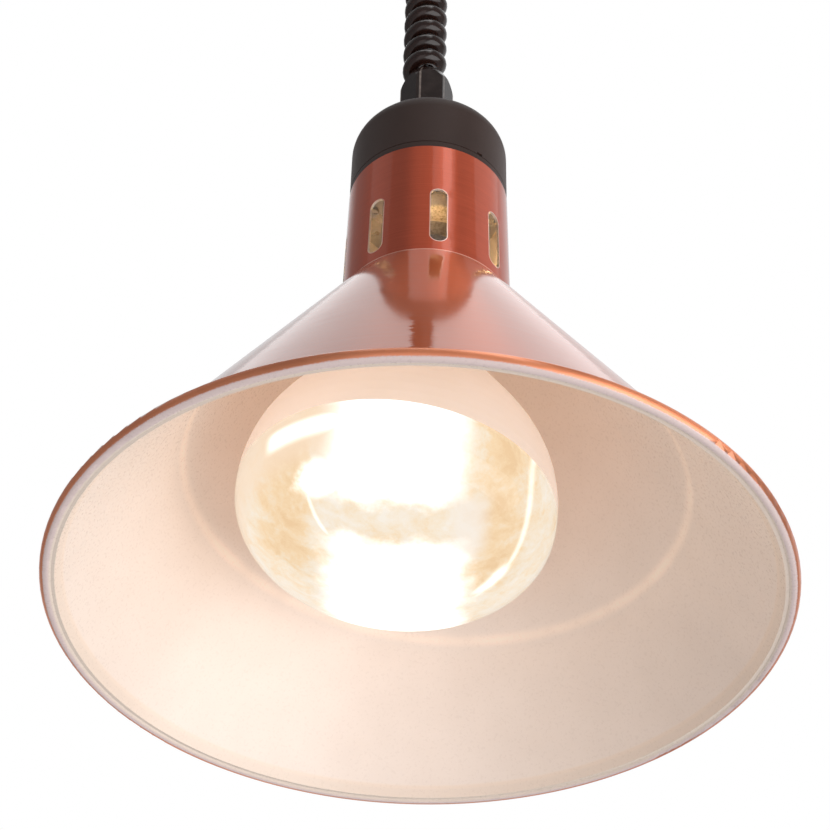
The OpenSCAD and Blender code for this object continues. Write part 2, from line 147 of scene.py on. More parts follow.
def coil_point(deg):
    t = math.radians(deg)
    return Vector((COIL_X + COIL_R * math.sin(t), -COIL_R * math.cos(t), RIM_Z + 316.0 + PITCH * deg / 360))


def coil_tangent(deg, length):
    d = coil_point(deg + 0.5) - coil_point(deg - 0.5)
    return d.normalized() * length


first, last = -205, 10330
low = Vector((4.6 * math.sin(math.radians(70)), -4.6 * math.cos(math.radians(70)), MOUTH_Z - 0.8))
high = Vector((0.0, -4.6, CANOPY_MOUTH_Z + 0.8))
step = 14
count = int((last - first) / step)
route = hermite(low, Vector((0, 0, 7)), coil_point(first), coil_tangent(first, 12), 9)
route += [coil_point(first + (last - first) * i / count) for i in range(count)]
route += hermite(coil_point(last), coil_tangent(last, 12), high, Vector((0, 0, 7)), 9)
route.append(high)
route = [p * MM for p in route]
cord = tube_mesh("coiled_cord", route, CORD_R * MM, 18)
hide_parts("curly_cord")
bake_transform(cord)

# ---------------------------------------------------------------- suspension wire
wire_low, wire_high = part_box("suspension_wire")
wire_path = [Vector((0, 0, wire_low.z + (wire_high.z - wire_low.z) * i / 60)) for i in range(61)]
wire = tube_mesh("hanging_wire", wire_path, 0.6 * MM, 12)
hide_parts("suspension_wire")
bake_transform(wire)


# ---------------------------------------------------------------- material helpers
class Mat:
    """Small wrapper that keeps node trees short to write."""

    def __init__(self, name):
        self.m = bpy.data.materials.new(name)
        self.m.use_nodes = True
        self.nt = self.m.node_tree
        self.nt.nodes.clear()
        self.out = self.nt.nodes.new("ShaderNodeOutputMaterial")
        self.bsdf = self.nt.nodes.new("ShaderNodeBsdfPrincipled")
        self.link(self.bsdf.outputs[0], self.out.inputs["Surface"])

    def link(self, a, b):
        self.nt.links.new(a, b)

    def set(self, **kw):
        for k, v in kw.items():
            s = self.bsdf.inputs[k.replace("_", " ")]
            if hasattr(v, "links") or isinstance(v, bpy.types.NodeSocket):
                self.link(v, s)
            else:
                s.default_value = v
        return self

    def node(self, kind, **kw):
        n = self.nt.nodes.new(kind)
        for k, v in kw.items():
            if k.startswith("i_"):
                s = n.inputs[int(k[2:])] if k[2:].isdigit() else n.inputs[k[2:].replace("_", " ")]
                if isinstance(v, bpy.types.NodeSocket):
                    self.link(v, s)
                else:
                    s.default_value = v
            else:
                setattr(n, k, v)
        return n

    def math(self, op, a, b=0.0, c=0.0, clamp=False):
        n = self.nt.nodes.new("ShaderNodeMath")
        n.operation = op
        n.use_clamp = clamp
        for i, v in enumerate((a, b, c)):
            if isinstance(v, bpy.types.NodeSocket):
                self.link(v, n.inputs[i])
            else:
                n.inputs[i].default_value = v
        return n.outputs[0]

    def position(self):
        """The point on the surface at rest, in metres, in the row frame."""
        return self.node("ShaderNodeTexCoord").outputs["Object"]

    def split(self, vector):
        return self.node("ShaderNodeSeparateXYZ", i_0=vector).outputs

    def join(self, x, y, z):
        return self.node("ShaderNodeCombineXYZ", i_0=x, i_1=y, i_2=z).outputs[0]

    def scaled(self, vector, scale):
        n = self.node("ShaderNodeVectorMath", operation="MULTIPLY")
        self.link(vector, n.inputs[0])
        n.inputs[1].default_value = scale
        return n.outputs[0]

    def noise(self, vector, scale, detail=3.0, rough=0.55, distortion=0.0):
        n = self.node("ShaderNodeTexNoise")
        self.link(vector, n.inputs["Vector"])
        n.inputs["Scale"].default_value = scale
        n.inputs["Detail"].default_value = detail
        n.inputs["Roughness"].default_value = rough
        n.inputs["Distortion"].default_value = distortion
        return n.outputs["Fac"]

    def ramp(self, fac, stops):
        n = self.node("ShaderNodeValToRGB")
        self.link(fac, n.inputs[0])
        r = n.color_ramp
        while len(r.elements) < len(stops):
            r.elements.new(0.5)
        for e, (p, c) in zip(r.elements, stops):
            e.position = p
            e.color = (*c, 1.0) if len(c) == 3 else c
        return n.outputs[0]

    def span(self, value, a, b, lo=0.0, hi=1.0, smooth=True):
        n = self.node("ShaderNodeMapRange")
        n.interpolation_type = "SMOOTHSTEP" if smooth else "LINEAR"
        self.link(value, n.inputs["Value"])
        n.inputs["From Min"].default_value = a
        n.inputs["From Max"].default_value = b
        n.inputs["To Min"].default_value = lo
        n.inputs["To Max"].default_value = hi
        return n.outputs["Result"]

    def mix(self, fac, a, b, blend="MIX"):
        n = self.node("ShaderNodeMix", data_type="RGBA", blend_type=blend)
        for s, v in ((n.inputs[0], fac), (n.inputs[6], a), (n.inputs[7], b)):
            if isinstance(v, bpy.types.NodeSocket):
                self.link(v, s)
            elif s == n.inputs[0]:
                s.default_value = v
            else:
                s.default_value = (*v, 1.0)
        return n.outputs[2]

    def bump(self, height, distance, strength=1.0, normal=None):
        n = self.node("ShaderNodeBump")
        n.inputs["Strength"].default_value = strength
        n.inputs["Distance"].default_value = distance
        self.link(height, n.inputs["Height"])
        if normal is not None:
            self.link(normal, n.inputs["Normal"])
        return n.outputs[0]


def add(m, *vals):
    out = vals[0]
    for v in vals[1:]:
        out = m.math("ADD", out, v)
    return out


def round_axis(m, x0=0.0, y0=0.0):
    """(x over r, y over r, r, z) about a vertical axis, for brushing that runs round."""
    x, y, z = m.split(m.position())
    x = m.math("SUBTRACT", x, x0)
    y = m.math("SUBTRACT", y, y0)
    r = m.math("SQRT", add(m, m.math("MULTIPLY", x, x), m.math("MULTIPLY", y, y)))
    return m.math("DIVIDE", x, r), m.math("DIVIDE", y, r), r, z


def brushing(m, cx, cy, z, along, across):
    """Texture coordinates that change slowly round the axis and quickly up it."""
    return m.join(m.math("MULTIPLY", cx, along), m.math("MULTIPLY", cy, along), m.math("MULTIPLY", z, across))


# ---------------------------------------------------------------- materials
MATS = {}


def brushed_copper(name, inside, low_c, mid_c, high_c):
    m = Mat(name)
    cx, cy, r, z = round_axis(m, HEAD_X * MM)
    fine = m.noise(brushing(m, cx, cy, z, 1.6, 2600.0), 1.0, 2.0)
    coarse = m.noise(brushing(m, cx, cy, z, 1.1, 520.0), 1.0, 3.0)
    cloud = m.noise(m.position(), 22.0, 3.0)
    lines = add(m, m.math("MULTIPLY", fine, 0.6), m.math("MULTIPLY", coarse, 0.4))
    tone = m.ramp(lines, [(0.32, low_c), (0.5, mid_c), (0.7, high_c)])
    tone = m.mix(m.span(cloud, 0.35, 0.7, 0.0, 0.2), tone, low_c)
    # A thin bright copper line is painted along the seam. The bright orange band along the roll of the bead is a
    # painted highlight.
    seam = m.span(m.math("ABSOLUTE", m.math("SUBTRACT", z, (RIM_Z + CONE_H) * MM)), 0.00045, 0.0002)
    tone = m.mix(m.math("MULTIPLY", seam, 0.8), tone, (1.0, 0.56, 0.44))
    painted_glint = m.math("MULTIPLY", m.span(z, (RIM_Z + 6.0) * MM, (RIM_Z + 4.6) * MM), m.span(cloud, 0.3, 0.6, 0.7, 1.0))
    tone = m.mix(painted_glint, tone, (1.0, 0.36, 0.18))
    if not inside:
        # Painted highlight: pale lines round the outer edges of the neck's slots.
        turn = m.math("MULTIPLY", m.math("ARCTAN2", cx, m.math("MULTIPLY", cy, -1.0)), 180 / math.pi)
        turn = m.math("WRAP", m.math("SUBTRACT", turn, SLOT_PHASE), 22.5, -22.5)
        u = m.math("MULTIPLY", m.math("MULTIPLY", r, 1000.0), m.math("SINE", m.math("MULTIPLY", turn, math.pi / 180)))
        up = m.math("ABSOLUTE", m.math("SUBTRACT", m.math("MULTIPLY", z, 1000.0), RIM_Z + SLOT_MID))
        v = m.math("MAXIMUM", m.math("SUBTRACT", up, SLOT_STRAIGHT), 0.0)
        rim = m.math("SUBTRACT", m.math("SQRT", add(m, m.math("MULTIPLY", u, u), m.math("MULTIPLY", v, v))), 3.5)
        slot_glint = m.math("MULTIPLY", m.span(rim, 0.5, 0.28), m.span(cloud, 0.3, 0.6, 0.6, 1.0))
        tone = m.mix(slot_glint, tone, (1.0, 0.74, 0.64))
    rough = m.span(lines, 0.3, 0.7, 0.40, 0.47)
    # The lacquer follows the brushing, which tears the edges of what it mirrors into streaks that run round.
    tangent = m.node("ShaderNodeTangent", direction_type="RADIAL", axis="Z")
    streak = m.noise(brushing(m, cx, cy, z, 7.0, 700.0), 1.0, 4.0, 0.7)
    push = m.node("ShaderNodeVectorMath", operation="SCALE")
    m.link(tangent.outputs[0], push.inputs[0])
    m.link(m.math("MULTIPLY", m.math("SUBTRACT", streak, 0.5), 0.15 if inside else 0.09), push.inputs["Scale"])
    torn = m.node("ShaderNodeVectorMath", operation="ADD")
    m.link(m.node("ShaderNodeNewGeometry").outputs["Normal"], torn.inputs[0])
    m.link(push.outputs[0], torn.inputs[1])
    height = m.bump(lines, 0.00002, 0.08)
    m.set(Base_Color=tone, Metallic=1.0, Roughness=rough, Normal=height, Coat_Weight=1.0,
          Coat_Roughness=0.08 if inside else 0.05, Coat_IOR=1.42, Anisotropic=0.88,
          Anisotropic_Rotation=0.25, Specular_Tint=(1.0, 0.7, 0.6, 1.0))
    m.link(torn.outputs[0], m.bsdf.inputs["Coat Normal"])
    m.link(tangent.outputs[0], m.bsdf.inputs["Tangent"])
    if not inside:
        return m.m
    # White enamel sprayed from below: it covers the inside and laps round the rolled bead.
    zr = m.math("MULTIPLY", m.math("SUBTRACT", z, RIM_Z * MM), 1000.0)
    rr = m.math("MULTIPLY", r, 1000.0)
    wall = m.math("MULTIPLY_ADD", m.math("SUBTRACT", CONE_H, zr), SLOPE, CONE_TOP_R - 0.6)
    above = m.span(m.math("SUBTRACT", wall, rr), -0.12, 0.12, smooth=False)
    bx = m.math("SUBTRACT", rr, BEAD_X)
    bz = m.math("SUBTRACT", zr, BEAD_R)
    angle = m.math("MULTIPLY", m.math("ARCTAN2", bz, bx), 180 / math.pi)
    speckle = m.noise(m.position(), 2600.0, 2.0, 0.6)
    drift = m.noise(m.join(m.math("MULTIPLY", cx, 2.2), m.math("MULTIPLY", cy, 2.2), 0.37), 1.0, 3.0)
    edge = add(m, m.math("MULTIPLY", m.math("SUBTRACT", cy, -1.0), -26.0),
               m.math("MULTIPLY", m.math("SUBTRACT", drift, 0.5), 30.0),
               m.math("MULTIPLY", m.math("SUBTRACT", speckle, 0.5), 26.0), -46.0)
    lap = m.span(m.math("SUBTRACT", edge, angle), -7.0, 7.0, smooth=True)
    # Past straight down the angle wraps, so the lower inner side of the bead counts as covered.
    inner = m.math("MULTIPLY", m.span(bx, 0.2, -0.4, smooth=False), m.span(bz, 0.0, -0.4, smooth=False))
    low_side = m.math("MAXIMUM", m.math("MAXIMUM", lap, inner), above)
    on_bead = m.math("LESS_THAN", zr, 5.4)
    off_bead = m.math("MULTIPLY", m.math("SUBTRACT", 1.0, on_bead), above)
    cover = m.math("ADD", m.math("MULTIPLY", on_bead, low_side), off_bead, clamp=True)
    grain = m.noise(m.position(), 900.0, 3.0)
    dust = m.noise(m.position(), 60.0, 4.0)
    white = m.ramp(dust, [(0.3, (0.89, 0.77, 0.685)), (0.7, (0.92, 0.80, 0.715))])
    # Outside and underneath the bead the enamel is painted darker than on the wall, and pinker on its outer side.
    white = m.mix(m.span(zr, 5.6, 4.6), white, (0.86, 0.725, 0.62))
    outer = m.math("MULTIPLY", m.span(bx, -1.6, -0.7), m.span(zr, 5.6, 5.2))
    white = m.mix(m.math("MULTIPLY", outer, m.span(speckle, 0.3, 0.7, 0.7, 1.0)), white, (0.80, 0.64, 0.63))
    enamel = m.node("ShaderNodeBsdfPrincipled")
    m.link(white, enamel.inputs["Base Color"])
    m.link(m.span(grain, 0.3, 0.7, 0.26, 0.34), enamel.inputs["Roughness"])
    enamel.inputs["Coat Weight"].default_value = 0.12
    enamel.inputs["Coat Roughness"].default_value = 0.25
    # The lamp's edge throws a soft bright ring onto the wall.
    ring = m.math("MULTIPLY_ADD", cx, 7.6, m.math("SUBTRACT", zr, 57.0))
    halo = m.math("MULTIPLY", m.span(m.math("ABSOLUTE", m.math("ADD", ring, 6.0)), 14.0, 0.0), 0.35)
    glow = m.math("MULTIPLY", m.math("MAXIMUM", m.span(m.math("ABSOLUTE", ring), 4.5, 0.0), halo), above)
    glow = m.math("MULTIPLY", glow, m.span(dust, 0.3, 0.7, 0.8, 1.0))
    # Painted light: a warm glow along the crease where the bead meets the wall, lifting the shade there.
    join = m.math("MULTIPLY", m.span(m.math("ABSOLUTE", m.math("SUBTRACT", zr, 4.6)), 1.4, 0.3), m.span(bx, 0.2, -0.8))
    glow = m.math("MAXIMUM", glow, m.math("MULTIPLY", join, 0.45))
    m.link(m.mix(glow, (0.0, 0.0, 0.0), (1.0, 0.66, 0.40)), enamel.inputs["Emission Color"])
    m.link(m.math("MULTIPLY", glow, 0.15), enamel.inputs["Emission Strength"])
    orange_peel = add(m, m.math("MULTIPLY", grain, 0.25), m.math("MULTIPLY", dust, 2.0))
    m.link(m.bump(orange_peel, 0.00004, 0.12), enamel.inputs["Normal"])
    both = m.node("ShaderNodeMixShader")
    m.link(cover, both.inputs[0])
    m.link(m.bsdf.outputs[0], both.inputs[1])
    m.link(enamel.outputs[0], both.inputs[2])
    m.link(both.outputs[0], m.out.inputs["Surface"])
    return m.m


def plastic(name, low_c, high_c, rough, scale, depth, coat=0.0, coat_rough=0.1, spec=0.5, sheen=0.0):
    m = Mat(name)
    p = m.position()
    grain = m.noise(p, scale, 3.0)
    cloud = m.noise(p, 45.0, 3.0)
    m.set(Base_Color=m.ramp(cloud, [(0.3, low_c), (0.7, high_c)]),
          Roughness=m.span(grain, 0.3, 0.7, rough[0], rough[1]), Normal=m.bump(grain, depth, 0.5),
          Coat_Weight=coat, Coat_Roughness=coat_rough, Specular_IOR_Level=spec, Sheen_Weight=sheen)
    return m.m


def metal(name, low_c, high_c, rough, stretch=(1.0, 1.0, 1.0), scale=300.0, depth=0.00003, coat=0.0):
    m = Mat(name)
    p = m.scaled(m.position(), stretch)
    grain = m.noise(p, scale, 4.0)
    cloud = m.noise(m.position(), 60.0, 4.0)
    tone = m.mix(m.span(cloud, 0.3, 0.7), low_c, high_c)
    m.set(Base_Color=m.mix(m.span(grain, 0.35, 0.65, 0.0, 0.35), tone, [0.6 * c for c in low_c]), Metallic=1.0,
          Roughness=m.span(grain, 0.3, 0.7, rough[0], rough[1]), Normal=m.bump(grain, depth, 0.4), Coat_Weight=coat)
    return m.m


MATS["copper"] = brushed_copper("copper", False, (0.60, 0.098, 0.040), (0.65, 0.113, 0.048), (0.70, 0.13, 0.057))
MATS["shade_copper"] = brushed_copper("shade_copper", True, (0.55, 0.128, 0.049), (0.59, 0.142, 0.056), (0.64, 0.16, 0.066))
MATS["cap_black"] = plastic("cap_black", (0.034, 0.0145, 0.0095), (0.041, 0.018, 0.0125), (0.5, 0.6), 3200.0, 0.00003, spec=0.2, sheen=0.12)


def nut_black():
    """Glossy black nut, with painted highlights along its six corners."""
    m = Mat("nut_black")
    x, y, z = m.split(m.position())
    x = m.math("SUBTRACT", x, HEAD_X * MM)
    p = m.position()
    cloud = m.noise(p, 180.0, 3.0)
    turn = m.math("MULTIPLY", m.math("ARCTAN2", y, x), 180 / math.pi)
    off = m.math("ABSOLUTE", m.math("WRAP", m.math("SUBTRACT", turn, 6.0), 30.0, -30.0))
    # Painted highlights: pale lines along the corners.
    painted_glint = m.math("MULTIPLY", m.span(off, 2.6, 1.0), m.span(m.noise(p, 420.0, 3.0), 0.35, 0.6, 0.7, 1.0))
    tone = m.ramp(cloud, [(0.3, (0.014, 0.006, 0.0045)), (0.7, (0.022, 0.010, 0.0075))])
    tone = m.mix(m.math("MULTIPLY", painted_glint, 0.55), tone, (0.42, 0.34, 0.30))
    m.set(Base_Color=tone, Roughness=m.span(cloud, 0.3, 0.7, 0.10, 0.2), Specular_IOR_Level=0.12,
          Normal=m.bump(m.noise(p, 160.0, 2.0), 0.0001, 0.4))
    return m.m


MATS["nut_black"] = nut_black()
MATS["gland_black"] = plastic("gland_black", (0.020, 0.0075, 0.005), (0.027, 0.011, 0.008), (0.12, 0.2), 700.0, 0.00002, spec=0.3)
MATS["cord_black"] = plastic("cord_black", (0.015, 0.006, 0.0045), (0.022, 0.009, 0.0065), (0.16, 0.24), 500.0, 0.00004, coat=0.2, coat_rough=0.1, spec=0.4)
MATS["seal_rubber"] = plastic("seal_rubber", (0.011, 0.010, 0.010), (0.018, 0.016, 0.016), (0.55, 0.7), 1500.0, 0.00003)
MATS["canopy_paint"] = plastic("canopy_paint", (0.012, 0.0105, 0.010), (0.017, 0.0145, 0.0135), (0.32, 0.42), 1100.0, 0.00006, coat=0.1, coat_rough=0.2)
MATS["zinc_steel"] = metal("zinc_steel", (0.45, 0.46, 0.47), (0.62, 0.62, 0.6), (0.25, 0.45), scale=140.0)
MATS["dark_steel"] = metal("dark_steel", (0.06, 0.06, 0.065), (0.12, 0.12, 0.12), (0.3, 0.5))
MATS["spring_steel"] = metal("spring_steel", (0.10, 0.13, 0.2), (0.2, 0.2, 0.24), (0.2, 0.35), (1.0, 1.0, 0.1))
MATS["brass_part"] = metal("brass_part", (0.55, 0.36, 0.12), (0.7, 0.5, 0.22), (0.2, 0.35))
MATS["nickel"] = metal("nickel", (0.5, 0.48, 0.44), (0.66, 0.64, 0.6), (0.25, 0.4))
MATS["ring_grey"] = metal("ring_grey", (0.22, 0.21, 0.2), (0.42, 0.4, 0.37), (0.4, 0.6), scale=900.0, depth=0.00006)
MATS["spool_plastic"] = plastic("spool_plastic", (0.6, 0.58, 0.53), (0.68, 0.66, 0.61), (0.35, 0.45), 600.0, 0.00003)
MATS["terminal_plastic"] = plastic("terminal_plastic", (0.66, 0.62, 0.52), (0.74, 0.7, 0.6), (0.35, 0.5), 700.0, 0.00003)
MATS["black_glass"] = plastic("black_glass", (0.006, 0.006, 0.010), (0.012, 0.012, 0.018), (0.05, 0.12), 300.0, 0.00001, coat=0.5)


MATS["bare_edge"] = metal("bare_edge", (0.86, 0.80, 0.76), (0.95, 0.90, 0.86), (0.35, 0.5), scale=1500.0)
MATS["neck_inside"] = plastic("neck_inside", (0.62, 0.50, 0.35), (0.76, 0.64, 0.47), (0.35, 0.6), 700.0, 0.0001)


def twisted_wire():
    m = Mat("wire_rope")
    x, y, z = m.split(m.position())
    angle = m.math("ARCTAN2", y, x)
    lay = m.math("SINE", add(m, m.math("MULTIPLY", angle, 6.0), m.math("MULTIPLY", z, 2 * math.pi * 6 / 0.009)))
    tone = m.ramp(m.math("MULTIPLY_ADD", lay, 0.5, 0.5), [(0.1, (0.12, 0.12, 0.12)), (0.6, (0.55, 0.56, 0.57))])
    m.set(Base_Color=tone, Metallic=1.0, Roughness=0.34, Normal=m.bump(lay, 0.00008, 0.8))
    return m.m


MATS["wire_rope"] = twisted_wire()


def braided():
    m = Mat("lead_sleeve")
    x, y, z = m.split(m.position())
    a = m.math("SINE", m.math("MULTIPLY", add(m, x, z), 7000.0))
    b = m.math("SINE", m.math("MULTIPLY", m.math("SUBTRACT", y, z), 7000.0))
    weave = m.math("MULTIPLY", a, b)
    tone = m.ramp(m.math("MULTIPLY_ADD", weave, 0.5, 0.5), [(0.2, (0.19, 0.085, 0.04)), (0.8, (0.34, 0.17, 0.09))])
    m.set(Base_Color=tone, Roughness=0.8, Normal=m.bump(weave, 0.0001, 0.7))
    return m.m


MATS["lead_sleeve"] = braided()


def porcelain():
    m = Mat("porcelain")
    p = m.position()
    speck = m.noise(p, 900.0, 4.0, 0.7)
    cloud = m.noise(p, 90.0, 3.0)
    tone = m.ramp(speck, [(0.34, (0.36, 0.27, 0.15)), (0.46, (0.60, 0.47, 0.27)), (0.62, (0.78, 0.65, 0.44))])
    tone = m.mix(m.span(cloud, 0.35, 0.7, 0.0, 0.4), tone, (0.68, 0.5, 0.26))
    # Its upper end is painted grey.
    high = add(m, m.split(p)[2], m.math("MULTIPLY", m.math("SUBTRACT", cloud, 0.5), 0.006))
    tone = m.mix(m.span(high, (RIM_Z + 196.5) * MM, (RIM_Z + 199.5) * MM, 0.0, 0.85), tone, (0.20, 0.18, 0.17))
    m.set(Base_Color=tone, Roughness=m.span(speck, 0.3, 0.7, 0.25, 0.55), Coat_Weight=0.3, Normal=m.bump(speck, 0.0001, 0.5))
    return m.m


MATS["porcelain"] = porcelain()


# ---------------------------------------------------------------- bulb
def bulb_space(m):
    """The surface point in the bulb's own frame, in millimetres. Its z is 0 at the widest ring and rises to the base."""
    n = m.node("ShaderNodeMapping", vector_type="POINT")
    down = m.node("ShaderNodeVectorMath", operation="SUBTRACT")
    m.link(m.position(), down.inputs[0])
    down.inputs[1].default_value = PIVOT * MM
    m.link(down.outputs[0], n.inputs["Vector"])
    n.inputs["Rotation"].default_value = (0, -LEAN, 0)
    n.inputs["Scale"].default_value = (1000, 1000, 1000)
    x, y, z = m.split(n.outputs[0])
    return x, y, m.math("SUBTRACT", z, RING_Z)


def reflector():
    m = Mat("mirror_glass")
    x, y, z = bulb_space(m)
    p = m.position()
    cloud = m.noise(p, 26.0, 3.0)
    grain = m.noise(p, 1400.0, 2.0)
    tone = m.ramp(cloud, [(0.3, (0.80, 0.75, 0.70)), (0.7, (0.86, 0.81, 0.77))])
    # A little of the lamp's light leaks through the thin mirror; the glow is also painted light, standing in for the
    # light the shade's walls throw back onto the reflector.
    leak_and_fill_glow = m.ramp(cloud, [(0.3, (0.95, 0.74, 0.60)), (0.7, (1.0, 0.80, 0.66))])
    m.set(Base_Color=tone, Metallic=0.45, Roughness=m.span(grain, 0.3, 0.7, 0.36, 0.44), Coat_Weight=0.2, Coat_Roughness=0.3,
          Emission_Color=leak_and_fill_glow, Emission_Strength=m.span(grain, 0.2, 0.8, 0.34, 0.38), Normal=m.bump(grain, 0.00002, 0.2))
    return m.m


def bulb_glow():
    """The mirrored inside of the bulb, amber and mottled."""
    m = Mat("bulb_glow")
    x, y, z = bulb_space(m)
    r = m.math("SQRT", add(m, m.math("MULTIPLY", x, x), m.math("MULTIPLY", y, y)))
    p = m.join(x, y, z)
    mottle = m.noise(p, 0.075, 5.0, 0.6, 0.6)
    fine = m.noise(p, 0.35, 4.0, 0.7)
    mix = add(m, m.math("MULTIPLY", mottle, 0.72), m.math("MULTIPLY", fine, 0.28))
    amber = m.ramp(mix, [(0.36, (0.80, 0.54, 0.26)), (0.5, (0.98, 0.72, 0.42)), (0.64, (1.0, 0.86, 0.64))])
    strength = m.span(r, 55.0, 20.0, 0.6, 1.1)
    m.set(Base_Color=(0.0, 0.0, 0.0, 1.0), Roughness=0.3, Emission_Color=amber, Emission_Strength=strength)
    return m.m


def face_glass():
    """The lit face: a white image of the filament in two joined blocks, amber mirror each side, cream at the edge."""
    m = Mat("face_glass")
    x, y, z = bulb_space(m)
    p = m.join(x, y, z)
    sway = m.math("MULTIPLY_ADD", m.noise(p, 0.07, 4.0, 0.6), 18.0, -9.0)
    lift = m.math("MULTIPLY_ADD", m.noise(m.scaled(p, (1.0, 1.0, -1.0)), 0.085, 4.0, 0.6), 16.0, -8.0)
    wx, wy = add(m, x, sway), add(m, y, lift)

    def within(value, middle, half, soft):
        return m.span(m.math("ABSOLUTE", m.math("SUBTRACT", value, middle)), half + soft, half - soft)

    def arc(cx, cy, radius, half, soft):
        dx, dy = m.math("SUBTRACT", x, cx), m.math("SUBTRACT", y, cy)
        return within(m.math("SQRT", add(m, m.math("MULTIPLY", dx, dx), m.math("MULTIPLY", dy, dy))), radius, half, soft)

    def both_of(*vals):
        out = vals[0]
        for v in vals[1:]:
            out = m.math("MULTIPLY", out, v)
        return out

    def most(*vals):
        out = vals[0]
        for v in vals[1:]:
            out = m.math("MAXIMUM", out, v)
        return out

    upper = both_of(within(m.math("MULTIPLY_ADD", sway, 0.35, x), 2.0, 23.0, 7.0), m.span(wy, -34.0, -43.0))
    wide = m.math("MULTIPLY", add(m, wx, 26.0), 0.8)
    tall = m.math("MULTIPLY_ADD", m.math("MULTIPLY", x, 0.5), 0.8, add(m, y, 52.0))
    wing = m.span(m.math("SQRT", add(m, m.math("MULTIPLY", wide, wide), m.math("MULTIPLY", tall, tall))), 8.5, 4.0)
    lower = both_of(within(wx, 3.0, 25.0, 8.0), m.span(wy, -25.0, -15.0))
    join = both_of(within(x, 30.0, 6.0, 4.0), within(wy, -27.0, 13.0, 5.0), m.span(x, 0.0, 1.0))
    r = m.math("SQRT", add(m, m.math("MULTIPLY", x, x), m.math("MULTIPLY", y, y)))
    # Painted highlights: bright arcs near the rim of the glass, and a bright pool and thin line on the right, drawn
    # into the face's glow beside the filament's image.
    left_arc = both_of(within(z, -8.0, 3.0, 2.0), m.span(x, -49.0, -44.0), m.span(x, -16.0, -24.0), m.span(y, -33.0, -40.0))
    right_arc = both_of(arc(-8.0, -30.0, 59.4, 0.9, 0.8), m.span(x, 30.0, 38.0), m.span(y, -42.0, -34.0))
    right_pool = both_of(arc(-8.0, -30.0, 58.5, 2.0, 1.6), within(y, 3.0, 7.0, 4.0), m.span(x, 20.0, 30.0))
    inner_line = both_of(arc(10.0, -46.0, 41.2, 0.7, 0.6), within(y, -28.0, 9.0, 3.0), m.span(x, 0.0, -4.0))
    filament_and_highlights = most(upper, wing, lower, left_arc, m.math("MULTIPLY", right_arc, 0.5), m.math("MULTIPLY", right_pool, 0.85), m.math("MULTIPLY", inner_line, 0.5))
    fine = m.noise(p, 0.42, 4.0, 0.75)
    mottle = m.noise(p, 0.11, 5.0, 0.62, 0.5)
    side = m.math("ABSOLUTE", m.math("SUBTRACT", x, 1.0))
    deep = both_of(within(side, 40.0, 9.0, 7.0), m.span(y, 16.0, -8.0))
    depth = add(m, m.math("MULTIPLY", mottle, 1.0), m.math("MULTIPLY", fine, 0.42), m.math("MULTIPLY", deep, 0.33))
    amber = m.ramp(m.math("MULTIPLY", depth, 0.6), [(0.32, (1.0, 0.93, 0.83)), (0.46, (0.99, 0.85, 0.67)), (0.59, (0.98, 0.735, 0.47)), (0.7, (0.91, 0.64, 0.38))])
    pale = m.math("MULTIPLY", join, 0.75)
    amber = m.mix(pale, amber, (1.0, 0.92, 0.84))
    edge = both_of(m.span(r, 52.0, 60.0), m.span(x, 30.0, 0.0))
    amber = m.mix(m.math("MULTIPLY", edge, 0.8), amber, (1.0, 0.79, 0.60))
    colour = m.mix(filament_and_highlights, amber, (1.0, 0.985, 0.95))
    glow = m.node("ShaderNodeEmission")
    m.link(colour, glow.inputs["Color"])
    m.link(m.math("MULTIPLY_ADD", filament_and_highlights, 0.7, 1.0), glow.inputs["Strength"])
    ripple = m.noise(m.position(), 55.0, 2.0)
    normal = m.bump(ripple, 0.0003, 0.2)
    m.nt.nodes.remove(m.bsdf)
    clear = m.node("ShaderNodeBsdfTransparent")
    clear.inputs[0].default_value = (1.0, 0.97, 0.92, 1.0)
    gloss = m.node("ShaderNodeBsdfGlossy")
    gloss.inputs["Roughness"].default_value = 0.06
    m.link(normal, gloss.inputs["Normal"])
    fres = m.node("ShaderNodeFresnel")
    fres.inputs["IOR"].default_value = 1.5
    m.link(normal, fres.inputs["Normal"])
    # Only the outside reflects; a ray leaving the glass goes straight on.
    front = m.math("SUBTRACT", 1.0, m.node("ShaderNodeNewGeometry").outputs["Backfacing"])
    seen = m.node("ShaderNodeMixShader")
    m.link(m.math("MULTIPLY", front, 0.92), seen.inputs[0])
    m.link(clear.outputs[0], seen.inputs[1])
    m.link(glow.outputs[0], seen.inputs[2])
    both = m.node("ShaderNodeMixShader")
    m.link(m.math("MULTIPLY", fres.outputs[0], m.math("MULTIPLY", front, 0.5)), both.inputs[0])
    m.link(seen.outputs[0], both.inputs[1])
    m.link(gloss.outputs[0], both.inputs[2])
    m.link(both.outputs[0], m.out.inputs["Surface"])
    return m.m


def tungsten():
    m = Mat("tungsten")
    grain = m.noise(m.position(), 3000.0, 2.0)
    m.set(Base_Color=(0.1, 0.09, 0.08, 1.0), Emission_Color=(1.0, 0.9, 0.72, 1.0),
          Emission_Strength=m.span(grain, 0.3, 0.7, 18.0, 26.0), Roughness=0.5)
    return m.m


MATS["mirror_glass"] = reflector()
MATS["bulb_glow"] = bulb_glow()
MATS["face_glass"] = face_glass()
MATS["tungsten"] = tungsten()
MATS["stem_glass"] = plastic("stem_glass", (0.7, 0.72, 0.7), (0.8, 0.8, 0.78), (0.05, 0.12), 400.0, 0.00002, coat=0.5)

for part in frame["record"]["subparts"]:
    obj = frame["nodes"][part["node"]]
    mat = MATS[part["material_slot"]]
    if obj.material_slots:
        for s in obj.material_slots:
            s.link = "OBJECT"
            s.material = mat
    else:
        obj.data.materials.append(mat)
frame["nodes"]["head_gland_nut"].material_slots[0].material = MATS["nut_black"]
cord.data.materials.append(MATS["cord_black"])
wire.data.materials.append(MATS["wire_rope"])

